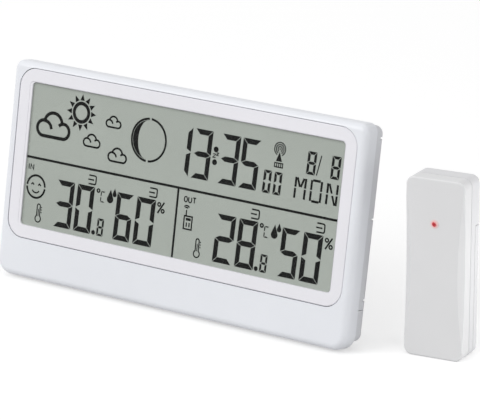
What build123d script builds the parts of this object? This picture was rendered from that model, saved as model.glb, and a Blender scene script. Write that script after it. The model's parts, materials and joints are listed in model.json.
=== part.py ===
from build123d import *
from math import acos, cos, degrees, radians, sin
import os

# Home weather station: a leaning display unit on a foot strip and a fold-out leg,
# with its separate outdoor sensor standing beside it. Millimetres, +Z up, front
# towards -Y, origin under the middle of the display unit's foot strip.

# ---- display unit: outline, seen from its leaning front ----
lean = 9.9                # degrees the front leans back
unit_width = 215.0
top_edge = 46.2           # from the middle of the display up to the top
bottom_edge = 63.3        # and down to the bottom
front_depth = 8.6         # front housing, front to seam
unit_depth = 16.0         # front to the flat of the back
outer_radius = 8.0        # lower corners of the outline
top_radius = 4.5          # and its upper corners
front_round = 3.4
wall = 2.0
face_wall = 2.2
seam = 0.3
rear_inset = 0.5          # back is narrower at each side
rear_drop = 1.35          # back is lower at the top
rear_radius = 4.0
rear_round = 3.0
notch_pitch = 39.0        # small side notches of the back
notch_width = 1.1
notch_bite = 2.5
notch_reach = 3.6         # from the flat of the back towards the front

# ---- display ----
frame_width = 205.0
frame_height = 86.1
frame_radius = 9.5
frame_sink = 0.1
frame_thickness = 2.8
frame_gap = 0.3
window_width = 191.8
window_height = 72.8
window_radius = 2.0
window_lip = 0.8
lens_overlap = 2.3
lens_thickness = 1.2
glass_overlap = 1.5
glass_thickness = 1.0
glass_room = 0.5          # hole in the front housing round the glass
contact_ledge = 4.0       # strip of the front glass below the rear glass
reflector_thickness = 0.25
shelf_thickness = 1.2     # rim of the front housing that carries the display frame
holder_depth = 2.3
holder_bar = 3.0
zebra_width = 2.6

# ---- boards ----
board_thickness = 1.6
board_half_width = 92.0
post_radius = 2.0
post_spread = 70.0
post_room = 2.65          # lower posts below the recess of the display frame
post_head_room = 1.4      # upper posts below the inside of the top wall
board_rim = 2.5           # board beyond the middle of its lower posts
board_top_gap = 0.45
small_screw = 0.9
key_switch_height = 2.0
key_switch_size = 6.0

# ---- housing screws ----
boss_radius = 2.9
screw_radius = 1.1
head_radius = 2.1
head_height = 1.6
head_sink = 3.0
screw_inset = 6.6         # upper screws from the side walls
screw_line = 30.0
lower_screw_spread = 80.0
lower_screw_drop = 8.4    # below the seam of the lower bar

# ---- lower bar, foot and leg ----
bar_top = 43.6            # seam above the lower bar, below the middle of the display
bar_bottom = 59.5
floor_gap = 0.36          # front housing's lowest edge above the table
foot_back = 11.3          # middle of the foot strip behind the front
foot_width = 3.2
foot_height = 1.6
foot_length = 170.0
keel_width = 4.4
keel_lift = 1.0
hinge_room = 6.6          # hinge below the hump, room for the leg's heel
hinge_stand = 4.0         # hinge behind the flat of the back
leg_tuck = 0.4            # folded leg ends this far above the bottom edge
leg_width = 44.0
leg_thickness = 3.0
leg_barrel = 3.0
pin_radius = 1.5
pin_clearance = 0.05
ear_gap = 1.0
ear_thickness = 4.0
ear_radius = 3.6
stop_gap = 0.3
pad_height = 6.0
pad_thickness = 5.2

# ---- battery hump ----
hump_bottom = -3.0
hump_side = 6.0           # hump beyond the bay's walls at each side
hump_rim = 1.5            # and above and below them
hump_radius = 6.0
hump_round = 2.5
cell_radius = 7.1
cell_length = 50.5
cell_spacing = 1.4        # between the two cells
cell_side_gap = 1.1
cell_lid_gap = 1.2
contact_room = 3.75       # at each end of the cells
bay_floor = 1.2
bay_wall = 3.0
cell_gap = 0.2
door_margin = 2.0
door_gap = 0.3
contact_sheet = 0.4

# ---- keys on the back ----
key_names = ["mode_key", "alarm_key", "snooze_key", "plus_key", "minus_key", "channel_key"]
key_start = 18.0          # first key from the side of the hump
key_pitch = 14.0
key_line = 8.0
key_width = 9.0
key_height = 5.0
key_radius = 1.5
key_gap = 0.25
key_proud = 1.2
key_flange = 1.0
key_travel = 0.8

# ---- hanging holes and sound holes ----
hanger_spread = 70.0
hanger_line = 27.0
hanger_radius = 3.6
hanger_slot = 4.0
hanger_rise = 7.0
sound_hole = 0.9

# ---- parts on the main board ----
rod_radius = 3.5
rod_length = 60.0
rod_back = 7.2
coil_wall = 0.6
coil_gap = 0.4
coil_length = 24.0
buzzer_radius = 6.0
buzzer_height = 4.0

# ---- outdoor sensor ----
sensor_turn = 8.0         # degrees it is turned from the display unit
sensor_beside = 34.6      # its middle from the side of the display unit
sensor_y = 12.4
sensor_width = 30.2
sensor_height = 88.0
sensor_seam = 7.8
sensor_gap = 0.3          # open line between the two shells
sensor_radius = 4.0
sensor_round = 0.8
sensor_rear_round = 2.0
sensor_wall = 1.6
waist = 3.0               # how far the side bevel bites into the front at mid height
waist_depth = 1.8
bevel_reach = 40.0        # half the height over which the bevel runs out
lamp_drop = 21.8
lamp_radius = 1.4
lamp_rim = 0.5
sensor_board_gap = 1.15   # board from the side walls
sensor_board_front = 3.2
sensor_board_thickness = 1.0
small_cell_radius = 5.2
small_cell_length = 44.5
small_cell_spacing = 0.6
small_cell_gap = 0.1
small_contact_room = 2.95
small_bay_low = 3.2
small_bay_wall = 1.2
small_door_room = 9.2     # room for the controls below the top of the door
small_door_side = 5.4     # depth of the door's side walls
small_door_gap = 0.25
deck_front = 8.2          # deck above the cells, with the slider and the button
deck_thickness = 1.2
slider_x = -4.0
button_x = 4.0
slider_size = 2.4
slider_body = 8.0
slider_travel = 2.0
button_radius = 1.6
button_gap = 0.3
button_travel = 0.5
controls_drop = 5.2       # below the top of the door
sensor_screw_drop = 4.7
sensor_screw_inset = 4.65
sensor_boss = 2.2
sensor_screw = 0.9
sensor_hanger_drop = 11.0
sensor_hanger_radius = 3.0
sensor_hanger_slot = 3.0
sensor_hanger_rise = 5.5

# ---- planes worked out from the sizes above ----
tilt_sin = sin(radians(lean))
tilt_cos = cos(radians(lean))
face_z = bottom_edge * tilt_cos + front_depth * tilt_sin + floor_gap
face_y = bottom_edge * tilt_sin - foot_back * tilt_cos
# the front surface, x to the right, y up it, offsets towards whoever looks at it
face = Plane(origin=(0, face_y, face_z), x_dir=(1, 0, 0), z_dir=(0, -tilt_cos, tilt_sin))
forward = Axis(face.origin, face.z_dir)
# the same place seen from the side: x is depth behind the front, y is up it
side = Plane(origin=face.origin, x_dir=(0, tilt_cos, -tilt_sin), z_dir=(1, 0, 0))

cell_pitch = 2 * cell_radius + cell_spacing
bay_width = cell_length + 2 * contact_room
bay_height = cell_pitch + 2 * cell_radius + 2 * cell_side_gap
hump_width = bay_width + 2 * bay_wall + 2 * wall + 2 * hump_side
hump_height = bay_height + 2 * bay_wall + 2 * wall + 2 * hump_rim
bay_middle = hump_bottom + hump_height / 2

hinge_back = unit_depth + hinge_stand
hinge_drop = hinge_room - hump_bottom
leg_length = bottom_edge - hinge_drop - leg_tuck
hinge_y = face_y - hinge_drop * tilt_sin + hinge_back * tilt_cos
hinge_z = face_z - hinge_drop * tilt_cos - hinge_back * tilt_sin
leg_open = degrees(acos(hinge_z / leg_length))
leg_swing = leg_open + lean
leg_side = Plane(
    origin=(0, hinge_y, hinge_z),
    x_dir=(0, cos(radians(leg_open)), sin(radians(leg_open))),
    z_dir=(1, 0, 0),
)

sensor_x = unit_width / 2 + sensor_beside
turn_sin = sin(radians(sensor_turn))
turn_cos = cos(radians(sensor_turn))
sensor = Plane(origin=(sensor_x, sensor_y, 0), x_dir=(turn_cos, turn_sin, 0), z_dir=(turn_sin, -turn_cos, 0))
sensor_forward = Axis(sensor.origin, sensor.z_dir)

# ---- depths behind the front, one layer after the other ----
frame_back = frame_sink + frame_thickness
lens_front = frame_sink + window_lip
lens_back = lens_front + lens_thickness
front_glass_back = lens_back + glass_thickness
rear_glass_back = front_glass_back + glass_thickness
shelf_back = frame_back + shelf_thickness
holder_front = max(rear_glass_back, shelf_back)
board_front = holder_front + holder_depth
board_back = board_front + board_thickness
rear_inside = unit_depth - wall
bay_front = board_back + 1.2
cell_front = bay_front + bay_floor
cell_back = cell_front + cell_gap + cell_radius
lid_front = cell_back + cell_radius + cell_lid_gap
hump_depth = lid_front + wall
sensor_board_back = sensor_board_front + sensor_board_thickness
small_bay_front = sensor_board_back + 0.7
small_cell_front = small_bay_front + 1.0
small_cell_middle = small_cell_front + small_cell_gap + small_cell_radius
sensor_inside = small_cell_middle + small_cell_radius
sensor_depth = sensor_inside + sensor_wall
small_door_split = sensor_depth - small_door_side

# ---- spots that follow from the sizes ----
recess_bottom = frame_height / 2 + frame_gap
lower_posts = [(x, -recess_bottom - post_room) for x in (-post_spread, 0, post_spread)]
upper_post_line = top_edge - face_wall - post_radius - post_head_room
upper_posts = [(x, upper_post_line) for x in (-post_spread, 0, post_spread)]
post_spots = lower_posts + upper_posts
board_below = -lower_posts[0][1] + board_rim
board_above = top_edge - rear_drop - wall - board_top_gap
screw_side = unit_width / 2 - screw_inset
upper_screws = [(x, y) for x in (-screw_side, screw_side) for y in (-screw_line, screw_line)]
lower_screw_line = -bar_top - lower_screw_drop
lower_screws = [(-lower_screw_spread, lower_screw_line), (lower_screw_spread, lower_screw_line)]
key_side = [hump_width / 2 + key_start + step * key_pitch for step in range(3)]
key_places = [-x for x in reversed(key_side)] + key_side
rod_line = -(bar_bottom - wall - rod_radius - coil_wall - coil_gap)
small_bay_height = small_cell_length + 2 * small_contact_room
small_door_top = small_bay_low + small_bay_height + small_bay_wall + small_door_room
controls_height = small_door_top - controls_drop
sensor_screw_side = sensor_width / 2 - sensor_screw_inset
sensor_screw_line = small_door_top - sensor_screw_drop
sensor_screw_spots = [(-sensor_screw_side, sensor_screw_line), (sensor_screw_side, sensor_screw_line)]
sensor_board_width = sensor_width - 2 * sensor_wall - 2 * sensor_board_gap
sensor_hanger_height = sensor_height - sensor_hanger_drop
lamp_height = sensor_height - lamp_drop


def slab(plane, front, back, width, height, radius, at=(0, 0), mode=Mode.ADD):
    # plate with rounded corners between two depths behind a plane
    with BuildSketch(plane.offset(-back)) as outline:
        with Locations(at):
            RectangleRounded(width, height, radius)
    extrude(outline.sketch, amount=back - front, mode=mode)


def block(plane, front, back, width, height, at=(0, 0), mode=Mode.ADD):
    with BuildSketch(plane.offset(-back)) as outline:
        with Locations(at):
            Rectangle(width, height)
    extrude(outline.sketch, amount=back - front, mode=mode)


def discs(plane, front, back, radius, spots=((0, 0),), mode=Mode.ADD):
    with BuildSketch(plane.offset(-back)) as outline:
        with Locations(*spots):
            Circle(radius)
    extrude(outline.sketch, amount=back - front, mode=mode)


def keyhole(plane, front, back, spot, radius, slot, rise):
    # round hole for a screw head, with a narrow slot above it
    discs(plane, front, back, radius, [spot], Mode.SUBTRACT)
    block(plane, front, back, slot, rise, (spot[0], spot[1] + rise / 2), Mode.SUBTRACT)
    discs(plane, front, back, slot / 2, [(spot[0], spot[1] + rise)], Mode.SUBTRACT)


def screws(plane, seat, tip, shank, head, height, spots):
    # the head stands behind the seat, the shank runs forward to the tip
    discs(plane, seat, seat + height, head, spots)
    discs(plane, tip, seat, shank, spots)


def save(piece, name):
    piece.part.label = name
    export_step(piece.part, f"parts/{name}.step")


os.makedirs("parts", exist_ok=True)

# ---- display unit: the pieces ----

outline_height = top_edge + bottom_edge
outline_middle = (top_edge - bottom_edge) / 2
recess_height = 2 * recess_bottom
glass_width = window_width + 2 * glass_overlap
rear_glass_height = window_height + 2 * glass_overlap
front_glass_height = rear_glass_height + contact_ledge
glass_hole_width = glass_width + 2 * glass_room
glass_hole_height = front_glass_height + 2 * glass_room
chin_height = bottom_edge - face_wall - recess_bottom - face_wall
chin_middle = -(recess_bottom + face_wall + chin_height / 2)

with BuildPart() as front_housing:
    with BuildSketch(face.offset(-front_depth)) as front_outline:
        with Locations((0, outline_middle)):
            Rectangle(unit_width, outline_height)
        fillet(front_outline.vertices().sort_by(Axis.Y)[:2], outer_radius)
        fillet(front_outline.vertices().sort_by(Axis.Y)[-2:], top_radius)
    extrude(front_outline.sketch, amount=front_depth)
    fillet(front_housing.faces().sort_by(forward)[-1].edges(), front_round)
    inner_width = unit_width - 2 * face_wall
    inner_height = outline_height - 2 * face_wall
    inner_radius = outer_radius - face_wall
    middle = (0, outline_middle)
    slab(face, shelf_back, front_depth, inner_width, inner_height, inner_radius, middle, Mode.SUBTRACT)
    slab(face, face_wall, shelf_back, inner_width - 4, chin_height, 2, (0, chin_middle), Mode.SUBTRACT)
    recess_width = frame_width + 2 * frame_gap
    slab(face, 0, frame_back, recess_width, recess_height, frame_radius + frame_gap, mode=Mode.SUBTRACT)
    glass_hole_middle = (0, -contact_ledge / 2)
    glass_hole = (glass_hole_width, glass_hole_height)
    slab(face, frame_back, shelf_back, *glass_hole, 1, glass_hole_middle, Mode.SUBTRACT)
    # bosses for the housing screws, posts for the main board, cradles for the aerial rod
    discs(face, shelf_back, front_depth, boss_radius, upper_screws)
    discs(face, face_wall, front_depth, boss_radius, lower_screws)
    discs(face, face_wall, board_front, post_radius, lower_posts)
    discs(face, shelf_back, board_front, post_radius, upper_posts)
    cradles = [(-22.0, rod_line), (22.0, rod_line)]
    for spot in cradles:
        block(face, face_wall, rod_back, 3, 2 * rod_radius + 2, spot)
    discs(face, shelf_back - 0.4, front_depth, screw_radius, upper_screws + lower_screws, Mode.SUBTRACT)
    discs(face, board_front - 2.2, board_front, small_screw, post_spots, Mode.SUBTRACT)
    with BuildSketch(side.offset(-rod_length / 2)) as rod_bed:
        with Locations((rod_back, rod_line)):
            Circle(rod_radius)
    extrude(rod_bed.sketch, amount=rod_length, mode=Mode.SUBTRACT)
save(front_housing, "front_housing")

with BuildPart() as display_frame:
    slab(face, frame_sink, frame_back, frame_width, frame_height, frame_radius)
    fillet(display_frame.faces().sort_by(forward)[-1].edges(), 0.5)
    lens_width = window_width + 2 * lens_overlap
    lens_height = window_height + 2 * lens_overlap
    rebate_height = lens_height + contact_ledge
    rebate_middle = (0, -contact_ledge / 2)
    slab(face, frame_sink, lens_front, window_width, window_height, window_radius, mode=Mode.SUBTRACT)
    slab(face, lens_front, frame_back, lens_width + 0.3, rebate_height, 1, rebate_middle, Mode.SUBTRACT)
    window_edge = display_frame.faces().sort_by(forward)[-1].inner_wires().edges()
    chamfer(window_edge, 0.25)
save(display_frame, "display_frame")

with BuildPart() as display_lens:
    slab(face, lens_front, lens_back, lens_width, lens_height, 1)
save(display_lens, "display_lens")

with BuildPart() as lcd_front_glass:
    ledge_middle = (0, -contact_ledge / 2)
    block(face, lens_back, front_glass_back, glass_width, front_glass_height, ledge_middle)
save(lcd_front_glass, "lcd_front_glass")

with BuildPart() as lcd_rear_glass:
    block(face, front_glass_back, rear_glass_back, glass_width, rear_glass_height)
save(lcd_rear_glass, "lcd_rear_glass")

reflector_back = rear_glass_back + reflector_thickness
with BuildPart() as lcd_reflector:
    reflector_width = glass_width - 2 * holder_bar - 0.4
    reflector_height = rear_glass_height - 2 * holder_bar - 0.4
    slab(face, rear_glass_back, reflector_back, reflector_width, reflector_height, 1)
save(lcd_reflector, "lcd_reflector")

with BuildPart() as lcd_holder:
    slab(face, holder_front, board_front, glass_width, rear_glass_height, 1)
    holder_inside = (glass_width - 2 * holder_bar, rear_glass_height - 2 * holder_bar)
    slab(face, holder_front, board_front, *holder_inside, 1, mode=Mode.SUBTRACT)
    for x in (-60, 0, 60):
        block(face, holder_front + 0.6, board_front, 2, rear_glass_height - 2, (x, 0))
save(lcd_holder, "lcd_holder")

with BuildPart() as zebra_strip:
    zebra_line = -(rear_glass_height / 2 + contact_ledge / 2)
    block(face, front_glass_back, board_front, glass_width - 14, zebra_width, (0, zebra_line))
save(zebra_strip, "zebra_strip")

board_middle = (0, (board_above - board_below) / 2)
board_height = board_above + board_below
with BuildPart() as main_board:
    slab(face, board_front, board_back, 2 * board_half_width, board_height, 2, board_middle)
    discs(face, board_front, board_back, small_screw + 0.2, post_spots, Mode.SUBTRACT)
save(main_board, "main_board")

with BuildPart() as board_screws:
    screws(face, board_back, board_front - 2.0, small_screw, 1.8, 0.9, post_spots)
save(board_screws, "board_screws")

with BuildPart() as board_chips:
    slab(face, board_back, board_back + 0.9, 16, 16, 4, (-4, -22))
    block(face, board_back, board_back + 1.4, 7, 10, (24, -20))
    block(face, board_back, board_back + 1.2, 5, 6, (-26, -24))
save(board_chips, "board_chips")

with BuildPart() as clock_crystal:
    with BuildSketch(side.offset(10)) as crystal_end:
        with Locations((board_back + 1.5, -34)):
            Circle(1.5)
    extrude(crystal_end.sketch, amount=8)
save(clock_crystal, "clock_crystal")

with BuildPart() as buzzer:
    buzzer_spot = [(-62.0, -26.0)]
    discs(face, board_back, board_back + buzzer_height, buzzer_radius, buzzer_spot)
    fillet(buzzer.faces().sort_by(forward)[0].edges(), 0.5)
    discs(face, board_back + 3, board_back + buzzer_height, 1.0, buzzer_spot, Mode.SUBTRACT)
save(buzzer, "buzzer")

with BuildPart() as room_sensor:
    slab(face, board_back, board_back + 1.4, 6, 6, 0.8, (-86, -16))
    discs(face, board_back + 1.0, board_back + 1.4, 1.2, [(-86, -16)], Mode.SUBTRACT)
save(room_sensor, "room_sensor")

radio_back = board_back + 2.5
with BuildPart() as radio_board:
    block(face, board_back, board_back + 1.5, 24, 2.4, (60, -38))
    block(face, board_back + 1.5, radio_back, 30, 18, (60, -30))
    block(face, radio_back, radio_back + 1.2, 6, 6, (58, -28))
save(radio_board, "radio_board")

with BuildPart() as receiver_aerial:
    wire_plane = face.offset(-(radio_back - 0.5))
    with BuildLine(wire_plane) as aerial_path:
        aerial_x = board_half_width + 2
        FilletPolyline((75, -30), (aerial_x, -30), (aerial_x, 24), radius=5)
    with BuildSketch(Plane(origin=aerial_path.line @ 0, z_dir=aerial_path.line % 0)) as aerial_section:
        Circle(0.5)
    sweep(aerial_section.sketch, path=aerial_path.line)
save(receiver_aerial, "receiver_aerial")

with BuildPart() as time_aerial_rod:
    with BuildSketch(side.offset(-rod_length / 2)) as rod_end:
        with Locations((rod_back, rod_line)):
            Circle(rod_radius)
    extrude(rod_end.sketch, amount=rod_length)
save(time_aerial_rod, "time_aerial_rod")

with BuildPart() as time_aerial_coil:
    with BuildSketch(side.offset(-coil_length / 2)) as coil_end:
        with Locations((rod_back, rod_line)):
            Circle(rod_radius + coil_wall)
            Circle(rod_radius, mode=Mode.SUBTRACT)
    extrude(coil_end.sketch, amount=coil_length)
save(time_aerial_coil, "time_aerial_coil")

with BuildPart() as key_switches:
    for x in key_places:
        switch_back = board_back + key_switch_height
        block(face, board_back, switch_back, key_switch_size, key_switch_size, (x, key_line))
save(key_switches, "key_switches")

rear_width = unit_width - 2 * rear_inset
rear_top = top_edge - rear_drop
rear_height = rear_top + bar_bottom
rear_middle = (0, (rear_top - bar_bottom) / 2)
rear_front = front_depth + seam


def rear_tray():
    # the whole back, housing and lower bar together, before they are parted
    slab(face, rear_front, unit_depth, rear_width, rear_height, rear_radius, rear_middle)
    fillet(faces().sort_by(forward)[0].edges(), rear_round)
    inside = (rear_width - 2 * wall, rear_height - 2 * wall)
    slab(face, rear_front, rear_inside, *inside, rear_radius - wall, rear_middle, Mode.SUBTRACT)


def screw_pillars(spots):
    discs(face, rear_front, rear_inside, boss_radius + 0.4, spots)
    discs(face, unit_depth - head_sink, unit_depth, head_radius + 0.3, spots, Mode.SUBTRACT)
    discs(face, rear_front, unit_depth, screw_radius + 0.15, spots, Mode.SUBTRACT)


hump_middle = (0, bay_middle)
door_width = bay_width + 2 * door_margin
door_height = bay_height + 2 * door_margin
bay_spot = (0, bay_middle)

with BuildPart() as rear_housing:
    rear_tray()
    slab(face, rear_inside, hump_depth, hump_width, hump_height, hump_radius, hump_middle)
    fillet(rear_housing.faces().sort_by(forward)[0].edges(), hump_round)
    hump_inside = (hump_width - 2 * wall, hump_height - 2 * wall)
    slab(face, rear_inside - wall, lid_front, *hump_inside, hump_radius - wall, hump_middle, Mode.SUBTRACT)
    # battery bay with its rim, and the seat of its door
    slab(face, bay_front, lid_front, bay_width + 2 * bay_wall, bay_height + 2 * bay_wall, 2, bay_spot)
    slab(face, cell_front, lid_front, bay_width, bay_height, 1, bay_spot, Mode.SUBTRACT)
    door_hole = (door_width + 2 * door_gap, door_height + 2 * door_gap)
    slab(face, lid_front, hump_depth, *door_hole, 2 + door_gap, bay_spot, Mode.SUBTRACT)
    notch_spot = [(0, bay_middle - door_height / 2 - 1.0)]
    discs(face, hump_depth - 1.2, hump_depth, 4.5, notch_spot, Mode.SUBTRACT)
    # ears of the leg's hinge
    for x in (leg_width / 2 + ear_gap, -leg_width / 2 - ear_gap - ear_thickness):
        with BuildSketch(side.offset(x)) as ear:
            with Locations((hinge_back, -hinge_drop)):
                Circle(ear_radius)
            with Locations(((hinge_back + rear_inside + 0.5) / 2, -hinge_drop)):
                Rectangle(hinge_back - rear_inside - 0.5, 2 * ear_radius)
        extrude(ear.sketch, amount=ear_thickness)
    with BuildSketch(side.offset(-leg_width)) as pin_hole:
        with Locations((hinge_back, -hinge_drop)):
            Circle(pin_radius)
    extrude(pin_hole.sketch, amount=2 * leg_width, mode=Mode.SUBTRACT)
    screw_pillars(upper_screws)
    # key holes, hanging holes, sound holes and the slots in front of the room sensor
    for x in key_places:
        hole = (key_width + 2 * key_gap, key_height + 2 * key_gap)
        slab(face, rear_inside, unit_depth, *hole, key_radius + key_gap, (x, key_line), Mode.SUBTRACT)
    for x in (-hanger_spread, hanger_spread):
        spot = (x, hanger_line)
        keyhole(face, rear_inside, unit_depth, spot, hanger_radius, hanger_slot, hanger_rise)
    sound_spots = [(-62 + dx, -26 + dy) for dx, dy in ((0, 0), (-4, 0), (4, 0), (0, -4), (0, 4))]
    discs(face, rear_inside, unit_depth, sound_hole, sound_spots, Mode.SUBTRACT)
    for step in range(4):
        slab(face, rear_inside, unit_depth, 12, 1.4, 0.6, (-86, -10 - 3.4 * step), Mode.SUBTRACT)
    # notches in both side edges
    for x in (-rear_width / 2, rear_width / 2):
        for y in (-notch_pitch, 0, notch_pitch):
            block(face, unit_depth - notch_reach, unit_depth, 2 * notch_bite, notch_width, (x, y), Mode.SUBTRACT)
    # all below the seam belongs to the lower bar
    below = (0, -bar_top + seam / 2 - unit_width / 2)
    block(face, rear_front, rear_inside + wall, unit_width, unit_width, below, Mode.SUBTRACT)
save(rear_housing, "rear_housing")

with BuildPart() as lower_bar:
    rear_tray()
    above = (0, -bar_top - seam / 2 + unit_width / 2)
    block(face, rear_front, unit_depth, unit_width, unit_width, above, Mode.SUBTRACT)
    # keel that carries the foot strip, with flat sides and a level underside
    bar_floor_z = face_z - bar_bottom * tilt_cos - foot_back * tilt_sin
    with BuildSketch(Plane.YZ.offset(-foot_length / 2 - 3)) as keel:
        with Locations((0, (keel_lift + bar_floor_z + 1) / 2)):
            Rectangle(keel_width, bar_floor_z + 1 - keel_lift)
        with Locations((0, foot_height / 2)):
            Rectangle(foot_width, foot_height, mode=Mode.SUBTRACT)
    extrude(keel.sketch, amount=foot_length + 6)
    screw_pillars(lower_screws)
save(lower_bar, "lower_bar")

with BuildPart() as base_foot:
    with BuildSketch(Plane.XY) as sole:
        RectangleRounded(foot_length, foot_width, 1.2)
    extrude(sole.sketch, amount=foot_height)
save(base_foot, "base_foot")

with BuildPart() as housing_screws:
    screw_seat = unit_depth - head_sink
    all_screws = upper_screws + lower_screws
    screws(face, screw_seat, shelf_back, screw_radius, head_radius, head_height, all_screws)
    for spot in all_screws:
        block(face, screw_seat + 0.9, screw_seat + head_height, 2.6, 0.7, spot, Mode.SUBTRACT)
        block(face, screw_seat + 0.9, screw_seat + head_height, 0.7, 2.6, spot, Mode.SUBTRACT)
save(housing_screws, "housing_screws")

# ---- batteries, their contacts and door ----
cell_lines = [bay_middle - cell_pitch / 2, bay_middle + cell_pitch / 2]
cell_shift = (bay_width - cell_length) / 2
with BuildPart() as battery_cells:
    for turned, line in enumerate(cell_lines):
        start = -cell_length / 2
        with BuildSketch(side.offset(start + turned * 1.2)) as can:
            with Locations((cell_back, line)):
                Circle(cell_radius)
        extrude(can.sketch, amount=cell_length - 1.2)
        with BuildSketch(side.offset(start + (1 - turned) * (cell_length - 1.2))) as nub:
            with Locations((cell_back, line)):
                Circle(2.7)
        extrude(nub.sketch, amount=1.2)
save(battery_cells, "battery_cells")

with BuildPart() as battery_contacts:
    # flat leaf against the end wall, with a bow that reaches the cell
    for line in cell_lines:
        for end in (-1, 1):
            x_wall = end * bay_width / 2
            x_cell = end * cell_length / 2
            x_leaf = x_wall - end * contact_sheet
            with BuildSketch(face.offset(-(cell_back + 4))) as leaf:
                with BuildLine():
                    Polyline(
                        (x_wall, line - 5),
                        (x_wall, line + 5),
                        (x_leaf, line + 5),
                        (x_cell, line + 0.6),
                        (x_cell, line - 0.6),
                        (x_cell + end * contact_sheet, line - 0.4),
                        (x_cell + end * contact_sheet, line + 0.4),
                        (x_leaf - end * 0.05, line + 4.2),
                        (x_leaf, line - 5),
                        close=True,
                    )
                make_face()
            extrude(leaf.sketch, amount=8)
save(battery_contacts, "battery_contacts")

with BuildPart() as battery_door:
    slab(face, lid_front, hump_depth, door_width, door_height, 2, bay_spot)
    for step in range(3):
        grip = (0, bay_middle - door_height / 2 + 5 + 2.2 * step)
        slab(face, hump_depth - 0.5, hump_depth, 14, 0.9, 0.4, grip, Mode.SUBTRACT)
    fillet(battery_door.faces().sort_by(forward)[0].outer_wire().edges(), 0.3)
save(battery_door, "battery_door")

# ---- leg ----
heel_lean = radians(leg_swing)
heel = (hinge_back - unit_depth - stop_gap - leg_thickness / 2 * cos(heel_lean)) / sin(heel_lean)
plate_end = leg_length - 2.0
with BuildPart() as stand_leg:
    with BuildSketch(leg_side.offset(-leg_width / 2)) as leg_profile:
        with Locations((0, (heel - plate_end) / 2)):
            Rectangle(leg_thickness, heel + plate_end)
        Circle(leg_barrel)
        Circle(pin_radius + pin_clearance, mode=Mode.SUBTRACT)
    extrude(leg_profile.sketch, amount=leg_width)
    # shallow panel and two ribs on the back of the plate
    leg_back = Plane(origin=leg_side.origin, x_dir=(-1, 0, 0), z_dir=leg_side.x_dir)
    panel_spot = (0, -plate_end / 2 - 1)
    with BuildSketch(leg_back.offset(leg_thickness / 2 - 0.8)) as panel:
        with Locations(panel_spot):
            RectangleRounded(leg_width - 9, plate_end - 18, 3)
    extrude(panel.sketch, amount=0.8, mode=Mode.SUBTRACT)
    with BuildSketch(leg_back.offset(leg_thickness / 2 - 0.8)) as ribs:
        with Locations((-8, panel_spot[1]), (8, panel_spot[1])):
            Rectangle(1.6, plate_end - 18)
    extrude(ribs.sketch, amount=0.8)
save(stand_leg, "stand_leg")

with BuildPart() as stand_pad:
    with BuildSketch(leg_side.offset(-leg_width / 2 - 0.5)) as pad_profile:
        with Locations((0, -leg_length - 2 + pad_height / 2)):
            Rectangle(pad_thickness, pad_height)
        with Locations((0, -plate_end + pad_height)):
            Rectangle(leg_thickness, 2 * pad_height, mode=Mode.SUBTRACT)
    extrude(pad_profile.sketch, amount=leg_width + 1)
    with BuildSketch(Plane.XY) as table:
        Rectangle(4 * leg_width, 4 * leg_width)
    extrude(table.sketch, amount=-leg_length, mode=Mode.SUBTRACT)
save(stand_pad, "stand_pad")

with BuildPart() as stand_pin:
    pin_half = leg_width / 2 + ear_gap + ear_thickness
    with BuildSketch(side.offset(-pin_half)) as pin_end:
        with Locations((hinge_back, -hinge_drop)):
            Circle(pin_radius)
    extrude(pin_end.sketch, amount=2 * pin_half)
save(stand_pin, "stand_pin")

# ---- keys ----
flange_back = rear_inside - 0.3
for name, x in zip(key_names, key_places):
    spot = (x, key_line)
    with BuildPart() as key:
        slab(face, flange_back - key_flange, unit_depth + key_proud, key_width, key_height, key_radius, spot)
        fillet(key.faces().sort_by(forward)[0].edges(), 0.5)
        slab(face, flange_back - key_flange, flange_back, key_width + 1.6, key_height + 1.6, key_radius, spot)
        stem_front = board_back + key_switch_height + key_travel + 0.1
        discs(face, stem_front, flange_back - key_flange, 1.2, [spot])
    save(key, name)

# ---- outdoor sensor: the pieces ----

body_middle = (0, sensor_height / 2)
shell_width = sensor_width - 2 * sensor_wall
shell_height = sensor_height - 2 * sensor_wall
bevel_radius = (bevel_reach**2 + waist**2) / (2 * waist)
board_low = 8.0
board_high = sensor_height - 5.0
stand_off_x = sensor_board_width / 2 - 2
stand_offs = [(x, y) for x in (-stand_off_x, stand_off_x) for y in (14.0, board_high - 3)]


def sensor_blank(front, back):
    slab(sensor, front, back, sensor_width, sensor_height, sensor_radius, body_middle)


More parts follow.
